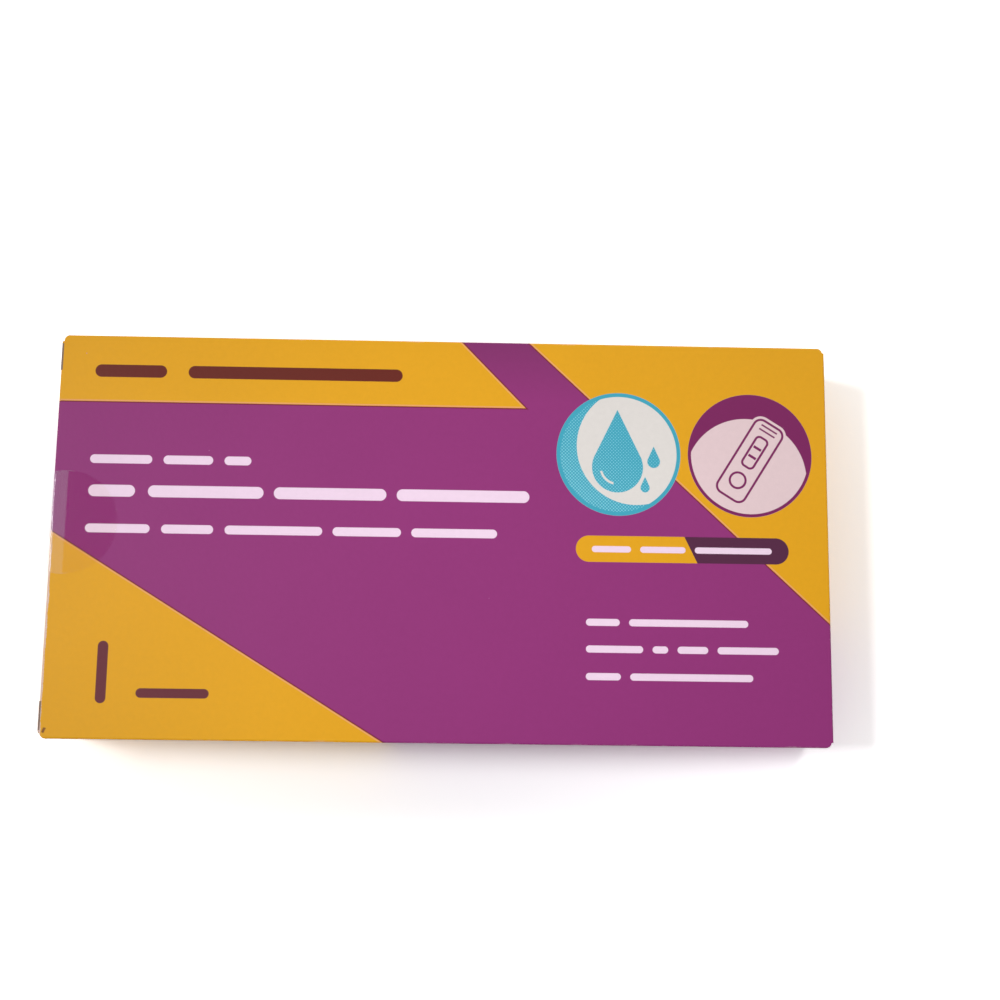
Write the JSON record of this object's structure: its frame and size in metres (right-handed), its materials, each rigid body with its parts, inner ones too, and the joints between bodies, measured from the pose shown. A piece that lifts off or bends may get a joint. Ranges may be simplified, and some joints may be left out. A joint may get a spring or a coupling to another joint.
{
  "type": "folding carton",
  "caption": "Flat rectangular folding carton for a small test kit, reverse tuck ends closed, sealed by a clear round wafer over the left end's edge.",
  "frame": {"origin": "on the resting surface, under the middle of the back panel", "axes": "+X along the carton's length, from the sealed end to the other; +Y across the front panel, towards its upper edge; +Z from the back panel to the front panel"},
  "size_m": [0.1501, 0.078, 0.0201],
  "materials": {
    "printed_board": "coated board, printed purple with amber yellow fields",
    "clear_film": "clear, glossy"
  },
  "bodies": {
    "root": {"carton": "printed_board", "tamper_seal": "clear_film"}
  },
  "joints": []
}
